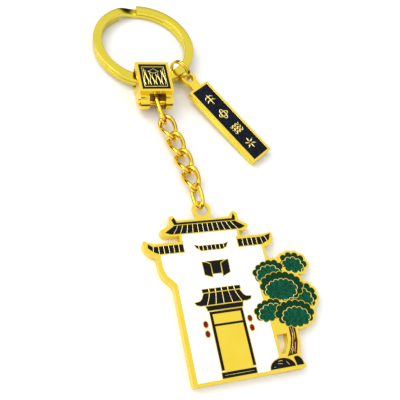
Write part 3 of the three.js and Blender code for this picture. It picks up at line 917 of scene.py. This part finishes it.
@dataclass
class Pendant:
    """The enamelled pendant: its gold casting, its enamel fields, and the fine gold lines that cross them."""

    top: float = 2.5
    enamel_top: float = 2.42
    line_half: float = 0.1
    edge_rounding: float = 0.06
    heart_depth: float = 0.1
    heart_rise: float = 0.02
    vein_half: float = 0.12
    vein_sunk: float = 0.04
    black: tuple[str, ...] = (
        "roof_ridge",
        "top_roof",
        "left_eave",
        "right_eave",
        "middle_eave",
        "left_shutter",
        "right_shutter",
        "window_pane",
        "gate_roof_cap",
        "gate_roof",
        "gate_lintel",
        "door_frame",
        "door_sill",
        "large_rock",
        "small_rock",
    )
    lanterns: tuple[str, ...] = ("left_lower", "left_upper", "right_lower", "right_upper")
    clumps: list[Clump] = field(
        default_factory=lambda: [
            Clump("lower_right", (11.4, 13.2), (3.4, 2.3), -3.0),
            Clump("lower_left", (4.6, 15.3), (3.0, 1.85), 12.0),
            Clump("middle", (9.3, 21.3), (4.1, 2.35), 4.0),
            Clump("right", (13.6, 18.2), (3.6, 2.7), -12.0),
            Clump("upper_left", (6.7, 26.0), (2.9, 1.9), 12.0),
            Clump("top", (14.6, 27.6), (2.5, 1.95), -8.0),
        ]
    )

    def build(self) -> None:
        """Makes the casting, the enamel and the lines."""
        into_piece(
            from_node("pendant_plate"),
            "pendant_casting",
            Body.PENDANT,
            CAST_GOLD,
            ["pendant_plate"],
            edge_mm=self.edge_rounding,
        )
        self.inlay("enamel_wall", WHITE)
        for name in self.black:
            self.inlay(f"enamel_{name}", BLACK)
        for name in self.lanterns:
            self.inlay(f"enamel_lantern_{name}", RED)
        self.inlay("enamel_tree_trunk", BROWN)
        for clump in self.clumps:
            self.foliage(clump)
        self.lines("roof_tile_lines", [*self.top_roof(), *self.eaves()])
        self.lines("gate_tile_lines", self.gate_roof())
        self.lines("lantern_strings", self.lantern_strings())
        self.lines("gable_scrolls", self.scrolls())
        self.lines("bark_lines", self.bark())
        # The sill stroke in this piece is a painted highlight: a gold line that stands for the gloss on the
        # black sill enamel.
        self.lines("rock_lines_and_sill_painted_highlight", self.rocks())

    def inlay(self, node: str, finish: Finish) -> None:
        """Fills one cell with enamel up to its walls.

        Args:
            node: The CAD node that it stands for.
            finish: Its enamel.
        """
        shape = from_node(node)
        push_walls(shape, 0.05)
        into_piece(shape, f"{node}_fill", Body.PENDANT, finish, [node])

    def lines(self, name: str, strokes: list[Stroke], finish: Finish = LINE_GOLD) -> None:
        """Lays fine lines over the enamel.

        Args:
            name: The piece's name.
            strokes: The lines.
            finish: Their coating.
        """
        into_piece(drawn(strokes, self.enamel_top), name, Body.PENDANT, finish, crease=60.0)

    def foliage(self, clump: Clump) -> None:
        """Makes a clump: its dark field, its lit part and the pale line between them.

        Args:
            clump: The clump.
        """
        node = f"enamel_foliage_{clump.name}"
        self.inlay(node, DARK_LEAF)
        heart = prism(clump.outline(), self.enamel_top - self.heart_depth, self.enamel_top + self.heart_rise)
        lit = common_part(heart, self.tall(node))
        into_piece(lit, f"foliage_{clump.name}_heart", Body.PENDANT, LEAF, crease=60.0)
        border = Stroke(tuple(clump.outline()), (self.vein_half,), closed=True, straight=True)
        vein = common_part(drawn([border], self.top - self.vein_sunk), self.tall(node))
        into_piece(vein, f"foliage_{clump.name}_vein", Body.PENDANT, LINE_GOLD, crease=60.0)

    def tall(self, node: str, stretch: float = 3.0) -> Shape:
        """A cell's solid drawn out so that it stands well above and below the enamel's face.

        Args:
            node: The cell's CAD node.
            stretch: How many times taller it gets.

        Returns:
            The tall solid.
        """
        shape = from_node(node)
        bmesh.ops.scale(shape, vec=(1.0, 1.0, stretch), verts=shape.verts)
        bmesh.ops.translate(shape, vec=(0.0, 0.0, -self.top * (stretch - 1) + 0.4), verts=shape.verts)
        return shape

    def top_roof(self) -> list[Stroke]:
        """The lines between the thirteen fanned tiles of the top roof."""
        strokes = []
        tiles = 13
        left, right = -17.4, 0.9
        middle = (left + right) / 2
        for rank in range(1, tiles):
            x = left + (right - left) * rank / tiles
            lean = 0.029 * (x - middle) * abs(x - middle)
            strokes.append(
                Stroke(((x, 42.95), (x + 0.35 * lean, 41.9), (x + lean, 40.3)), (self.line_half,))
            )
        return strokes

    def eaves(self) -> list[Stroke]:
        """The lines between the tiles of the side eaves and of the short eave between them."""
        strokes = [self.upright_line(-16.95 - 1.4 * rank, 34.95, 37.35) for rank in range(5)]
        strokes.append(Stroke(((-23.9, 37.4), (-24.15, 35.8)), (self.line_half,)))
        strokes += [self.upright_line(1.65 + 1.4 * rank, 34.95, 37.35) for rank in range(4)]
        strokes.append(Stroke(((7.2, 37.3), (7.55, 35.1)), (self.line_half,)))
        strokes.append(Stroke(((8.5, 37.5), (9.1, 35.8)), (self.line_half,)))
        strokes += [self.upright_line(-11.4 + 1.2 * rank, 34.8, 36.3) for rank in range(7)]
        return strokes

    def upright_line(self, x: float, low: float, high: float) -> Stroke:
        """A straight line up the pendant."""
        return Stroke(((x, low), (x, high)), (self.line_half,), straight=True)

    def gate_roof(self) -> list[Stroke]:
        """The lines between the flared tiles of the gate's roof and between the blocks above them."""
        strokes = []
        for x, foot in ((-11.25, -12.55), (-9.45, -10.1), (-7.7, -7.85), (-5.9, -5.4), (-4.1, -2.75)):
            strokes.append(Stroke(((x, 23.0), ((2 * x + foot) / 3, 21.7), (foot, 19.8)), (self.line_half,)))
            strokes.append(Stroke(((x, 23.15), (x, 24.1)), (self.line_half + 0.05,), straight=True))
        return strokes

    def lantern_strings(self) -> list[Stroke]:
        """The strings, caps and tassels of the two pairs of lanterns."""
        strokes = []
        for x in (-14.1, -1.8):
            strokes.append(Stroke(((x, 19.3), (x, 15.7)), (0.06,), straight=True))
            strokes.append(Stroke(((x, 14.0), (x, 13.2)), (0.14,), straight=True))
            strokes.append(Stroke(((x, 11.5), (x, 10.9), (x, 10.0)), (0.14, 0.1, 0.03), straight=True))
            strokes += [
                Stroke(((x - 0.3, y), (x + 0.3, y)), (0.09,), straight=True)
                for y in (15.75, 14.0, 13.25, 11.5)
            ]
        return strokes

    def scrolls(self) -> list[Stroke]:
        """The faint curls over the gate's roof."""
        strokes = []
        for side, x in ((-1, -13.3), (1, -2.4)):
            curl = ((x, 24.3), (x + side * 0.3, 24.9), (x + side * 0.2, 25.5), (x - side * 0.2, 25.6))
            strokes.append(Stroke(curl, (0.05, 0.08, 0.07, 0.04)))
        return strokes

    def bark(self) -> list[Stroke]:
        """The streaks up the trunk."""
        return [
            Stroke(
                ((8.9, 11.0), (9.0, 9.2), (8.6, 7.4), (7.6, 5.2), (6.7, 4.2)),
                (0.03, 0.06, 0.07, 0.05, 0.03),
            ),
            Stroke(((9.5, 10.8), (9.5, 8.9), (9.2, 7.6)), (0.03, 0.06, 0.03)),
            Stroke(((9.2, 7.0), (8.8, 5.6), (8.3, 4.3)), (0.03, 0.06, 0.03)),
            Stroke(((8.3, 6.0), (7.9, 5.0), (7.5, 4.1)), (0.03, 0.07, 0.03)),
        ]

    def rocks(self) -> list[Stroke]:
        """The short gold strokes on the rocks, and a gold line along the sill that is a painted highlight: it
        stands for a gloss highlight on the black sill enamel.
        """
        return [
            Stroke(((3.0, 2.75), (3.7, 2.85), (4.3, 2.75)), (0.05, 0.1, 0.05)),
            Stroke(((2.7, 2.2), (3.5, 2.15), (4.1, 1.95)), (0.05, 0.1, 0.05)),
            Stroke(((5.2, 2.5), (5.6, 2.0), (5.9, 1.5)), (0.05, 0.09, 0.04)),
            Stroke(((1.5, 1.5), (2.0, 1.45)), (0.07, 0.04)),
            # Painted highlight: a gold line along the sill where the black enamel shows only a gloss
            # highlight.
            Stroke(((-12.0, 1.65), (-8.0, 1.65), (-4.0, 1.65)), (0.04, 0.07, 0.04)),
        ]


@dataclass
class BarTag:
    """The bar tag: a rimmed bar with a grooved edge, dark enamel and four small ornaments."""

    centre: tuple[float, float, float] = (7.11, 75.72, 2.4)
    heading: float = 33.6
    pitch: float = 4.1
    half_width: float = 3.95
    half_length: float = 14.65
    enamel_top: float = 1.12
    groove_height: float = 0.15
    groove_half: float = 0.14
    groove_depth: float = 0.16
    spacing: float = 6.1

    def place(self) -> Matrix:
        """The tag's place in the pendant's frame."""
        turn = Matrix.Rotation(math.radians(self.heading), 4, "Z")
        lean = Matrix.Rotation(math.radians(self.pitch), 4, "X")
        return Matrix.Translation(self.centre) @ turn @ lean

    def build(self) -> None:
        """Makes the bar, its enamel and the ornaments."""
        place = self.place()
        bar = self.own(from_node("tag_plate"))
        self.groove(bar)
        into_piece(bar, "tag_casting", Body.TAG, CAST_GOLD, ["tag_plate"], TO_ROW @ place, edge_mm=0.1)
        inlay = self.own(from_node("tag_enamel"))
        push_walls(inlay, 0.05)
        into_piece(inlay, "tag_inlay", Body.TAG, NAVY, ["tag_enamel"], TO_ROW @ place)
        lines = drawn(self.ornaments(), self.enamel_top)
        into_piece(lines, "tag_ornaments", Body.TAG, LINE_GOLD, place=TO_ROW @ place, crease=60.0)

    def own(self, shape: Shape) -> Shape:
        """Brings a shape from the pendant's frame into the tag's own."""
        shape.transform(self.place().inverted())
        return shape

    def groove(self, shape: Shape) -> None:
        """Cuts the shallow line round the bar's edge.

        Args:
            shape: The bar in its own frame.
        """
        for height in (
            self.groove_height - self.groove_half,
            self.groove_height,
            self.groove_height + self.groove_half,
        ):
            bmesh.ops.bisect_plane(
                shape,
                geom=[*shape.verts, *shape.edges, *shape.faces],
                dist=1e-4,
                plane_co=(0.0, 0.0, height),
                plane_no=(0.0, 0.0, 1.0),
            )
        edge = [
            vert
            for vert in shape.verts
            if abs(vert.co.z - self.groove_height) < 0.02
            and (abs(vert.co.x) > self.half_width - 0.05 or abs(vert.co.y) > self.half_length - 0.05)
            and abs(vert.co.y) < self.half_length + 0.05
        ]
        push_walls(shape, -self.groove_depth, edge)

    def ornaments(self) -> list[Stroke]:
        """Four small ornaments down the bar: a twig, a knot, a wave and a blossom.

        Returns:
            The lines.
        """
        ranks = [self.spacing * (1.5 - rank) for rank in range(4)]
        return [
            *self.twig(ranks[0]),
            *self.knot(ranks[1]),
            *self.wave(ranks[2]),
            *self.blossom(ranks[3]),
        ]

    def twig(self, y: float) -> list[Stroke]:
        """A stem with leaves in pairs."""
        stem = Stroke(((0.0, y + 1.9), (0.1, y), (0.0, y - 1.9)), (0.08, 0.2, 0.1))
        leaves = [
            Stroke(
                ((0.0, y + rise), (side * 0.8, y + rise + 0.2), (side * 1.6, y + rise - 0.4)),
                (0.1, 0.28, 0.05),
            )
            for side in (-1, 1)
            for rise in (0.9, -0.4)
        ]
        return [stem, *leaves]

    def knot(self, y: float) -> list[Stroke]:
        """Two crossed loops."""
        loops = []
        for turn in (0.0, math.pi / 2):
            points = tuple(
                (
                    1.7 * math.cos(angle) * math.cos(turn) - 0.7 * math.sin(angle) * math.sin(turn),
                    y + 1.7 * math.cos(angle) * math.sin(turn) + 0.7 * math.sin(angle) * math.cos(turn),
                )
                for angle in (math.pi * place / 5 for place in range(10))
            )
            loops.append(Stroke(points, (0.17,), closed=True))
        return loops

    def wave(self, y: float) -> list[Stroke]:
        """Three ripples one over another."""
        return [
            Stroke(
                tuple((-1.8 + 0.6 * place, y + rise + 0.35 * (-1) ** place) for place in range(7)),
                (0.08, 0.2, 0.2, 0.2, 0.2, 0.2, 0.08),
            )
            for rise in (1.1, 0.0, -1.1)
        ]

    def blossom(self, y: float) -> list[Stroke]:
        """Six tapered petals round a bud."""
        petals = []
        for rank in range(6):
            angle = math.pi * (rank / 3 + 1 / 6)
            near, middle, far = 0.4, 1.2, 1.9
            points = tuple(
                (reach * math.cos(angle), y + reach * math.sin(angle)) for reach in (near, middle, far)
            )
            petals.append(Stroke(points, (0.1, 0.3, 0.08)))
        return petals


@dataclass
class TagRing:
    """The tag's small coiled ring, upright round the split ring's band."""

    coil: Coil = Coil(3.8, 0.7, 0.62, 0.08, 30.0, 200.0, 0.2, step=5.0)
    station: float = -50.0
    outward_shift: float = 0.2
    ring: SplitRing = field(default_factory=SplitRing)

    def build(self) -> None:
        """Makes the ring."""
        shape = self.coil.wound()
        depth = 2 * self.coil.coil_height + self.coil.coil_gap
        bmesh.ops.translate(shape, vec=(0.0, 0.0, -depth / 2), verts=shape.verts)
        angle = math.radians(self.station)
        outward = Vector((math.cos(angle), math.sin(angle), 0.0))
        upward = Vector((0.0, 0.0, 1.0))
        basis = Matrix((outward, upward, outward.cross(upward))).transposed().to_4x4()
        band = self.ring.coil
        distance = band.outer_radius - band.band_width / 2 + self.outward_shift
        middle = Vector((*self.ring.centre, self.coil.outer_radius + 0.05)) + outward * distance
        shape.transform(Matrix.Translation(middle) @ basis)
        into_piece(shape, "tag_ring_coils", Body.TAG_RING, LINK_GOLD, ["tag_ring"], crease=50.0)


@dataclass
class Studio:
    """A pale floor, a surround that is white overhead and dark low down, two softboxes and the camera."""

    eye: tuple[float, float, float] = (-62.115, -16.926, 144.059)
    forward: tuple[float, float, float] = (0.3264, 0.4042, -0.8544)
    up: tuple[float, float, float] = (0.0689, 0.8914, 0.4480)
    lens: float = 52.7
    sensor: float = 36.0
    clip_start: float = 0.005
    floor_half: float = 4.0
    floor_drop: float = 0.00002
    dark_below: float = 0.28
    white_above: float = 0.6
    strength: float = 1.05

    def build(self) -> None:
        """Sets the floor, the lights, the surround and the camera."""
        self.floor()
        self.surround()
        self.softbox("key_softbox", (-0.4, 0.3, 0.6), 0.5, 2.3)
        self.softbox("rim_softbox", (-0.5, -0.15, 0.3), 0.25, 0.8)
        self.camera()
        bpy.context.scene.view_settings.view_transform = "Standard"

    def floor(self) -> None:
        """Lays the floor just under the object."""
        shape = bmesh.new()
        bmesh.ops.create_grid(shape, x_segments=1, y_segments=1, size=self.floor_half)
        bmesh.ops.translate(shape, vec=(0.0, 0.0, -self.floor_drop), verts=shape.verts)
        mesh = bpy.data.meshes.new("floor")
        shape.to_mesh(mesh)
        shape.free()
        material, tree, place = new_material("matt_white_card")
        fibre = add_node(tree, "ShaderNodeTexNoise", inputs={"Vector": place, "Scale": per_metre(0.8)})
        tone = blended(tree, fibre.outputs["Fac"], linear("#fbfbfb"), linear("#f8f8f8"))
        card = add_node(
            tree, "ShaderNodeBsdfPrincipled", inputs={"Base Color": tone.outputs[2], "Roughness": 0.9}
        )
        close_material(tree, card)
        mesh.materials.append(material)
        floor = bpy.data.objects.new("floor", mesh)
        bpy.context.scene.collection.objects.link(floor)

    def surround(self) -> None:
        """Makes the surround: white overhead, dark towards the horizon, and plain pale to the camera."""
        world = bpy.data.worlds.new("white_surround")
        bpy.context.scene.world = world
        world.use_nodes = True
        tree = world.node_tree
        tree.nodes.clear()
        way = add_node(tree, "ShaderNodeTexCoord").outputs["Generated"]
        height = add_node(tree, "ShaderNodeSeparateXYZ", inputs={0: way}).outputs[2]
        ramp = add_node(tree, "ShaderNodeValToRGB", inputs={0: height})
        stops = ramp.color_ramp.elements
        stops[0].position, stops[0].color = self.dark_below, linear("#1e160e")
        stops[1].position, stops[1].color = self.white_above, linear("#ffffff")
        light = add_node(
            tree, "ShaderNodeBackground", inputs={"Color": ramp.outputs[0], "Strength": self.strength}
        )
        pale = add_node(
            tree, "ShaderNodeBackground", inputs={"Color": linear("#f6f6f6"), "Strength": 1.0}
        )
        seen = add_node(tree, "ShaderNodeLightPath").outputs["Is Camera Ray"]
        both = add_node(
            tree, "ShaderNodeMixShader", inputs={0: seen, 1: light.outputs[0], 2: pale.outputs[0]}
        )
        add_node(tree, "ShaderNodeOutputWorld", inputs={"Surface": both.outputs[0]})

    def softbox(
        self,
        name: str,
        place: tuple[float, float, float],
        size: float,
        power: float,
    ) -> None:
        """Hangs a square soft light that faces the object.

        Args:
            name: The light's name.
            place: Where it hangs, in metres.
            size: Its side in metres.
            power: Its power in watts.
        """
        lamp = bpy.data.lights.new(name, "AREA")
        lamp.size = size
        lamp.energy = power
        holder = bpy.data.objects.new(name, lamp)
        bpy.context.scene.collection.objects.link(holder)
        holder.location = place
        facing = -Vector(place)
        holder.rotation_euler = facing.to_track_quat("-Z", "Y").to_euler()

    def camera(self) -> None:
        """Sets the camera where it was worked out to stand."""
        lens = bpy.data.cameras.new("camera")
        lens.lens = self.lens
        lens.sensor_width = self.sensor
        lens.clip_start = self.clip_start
        camera = bpy.data.objects.new("camera", lens)
        bpy.context.scene.collection.objects.link(camera)
        forward, up = Vector(self.forward).normalized(), Vector(self.up).normalized()
        right = forward.cross(up).normalized()
        basis = Matrix((right, right.cross(forward), -forward)).transposed().to_4x4()
        camera.matrix_world = Matrix.Translation(TO_ROW @ Vector(self.eye)) @ basis
        bpy.context.scene.camera = camera


def main() -> None:
    """Builds the keychain and its studio."""
    logging.basicConfig(level=logging.INFO, format="%(name)s: %(message)s")
    for part in (SplitRing(), Connector(), Chain(), Pendant(), TagRing(), BarTag(), Studio()):
        part.build()
        LOG.info("%s is done", type(part).__name__)


if __name__ == "__main__":
    main()
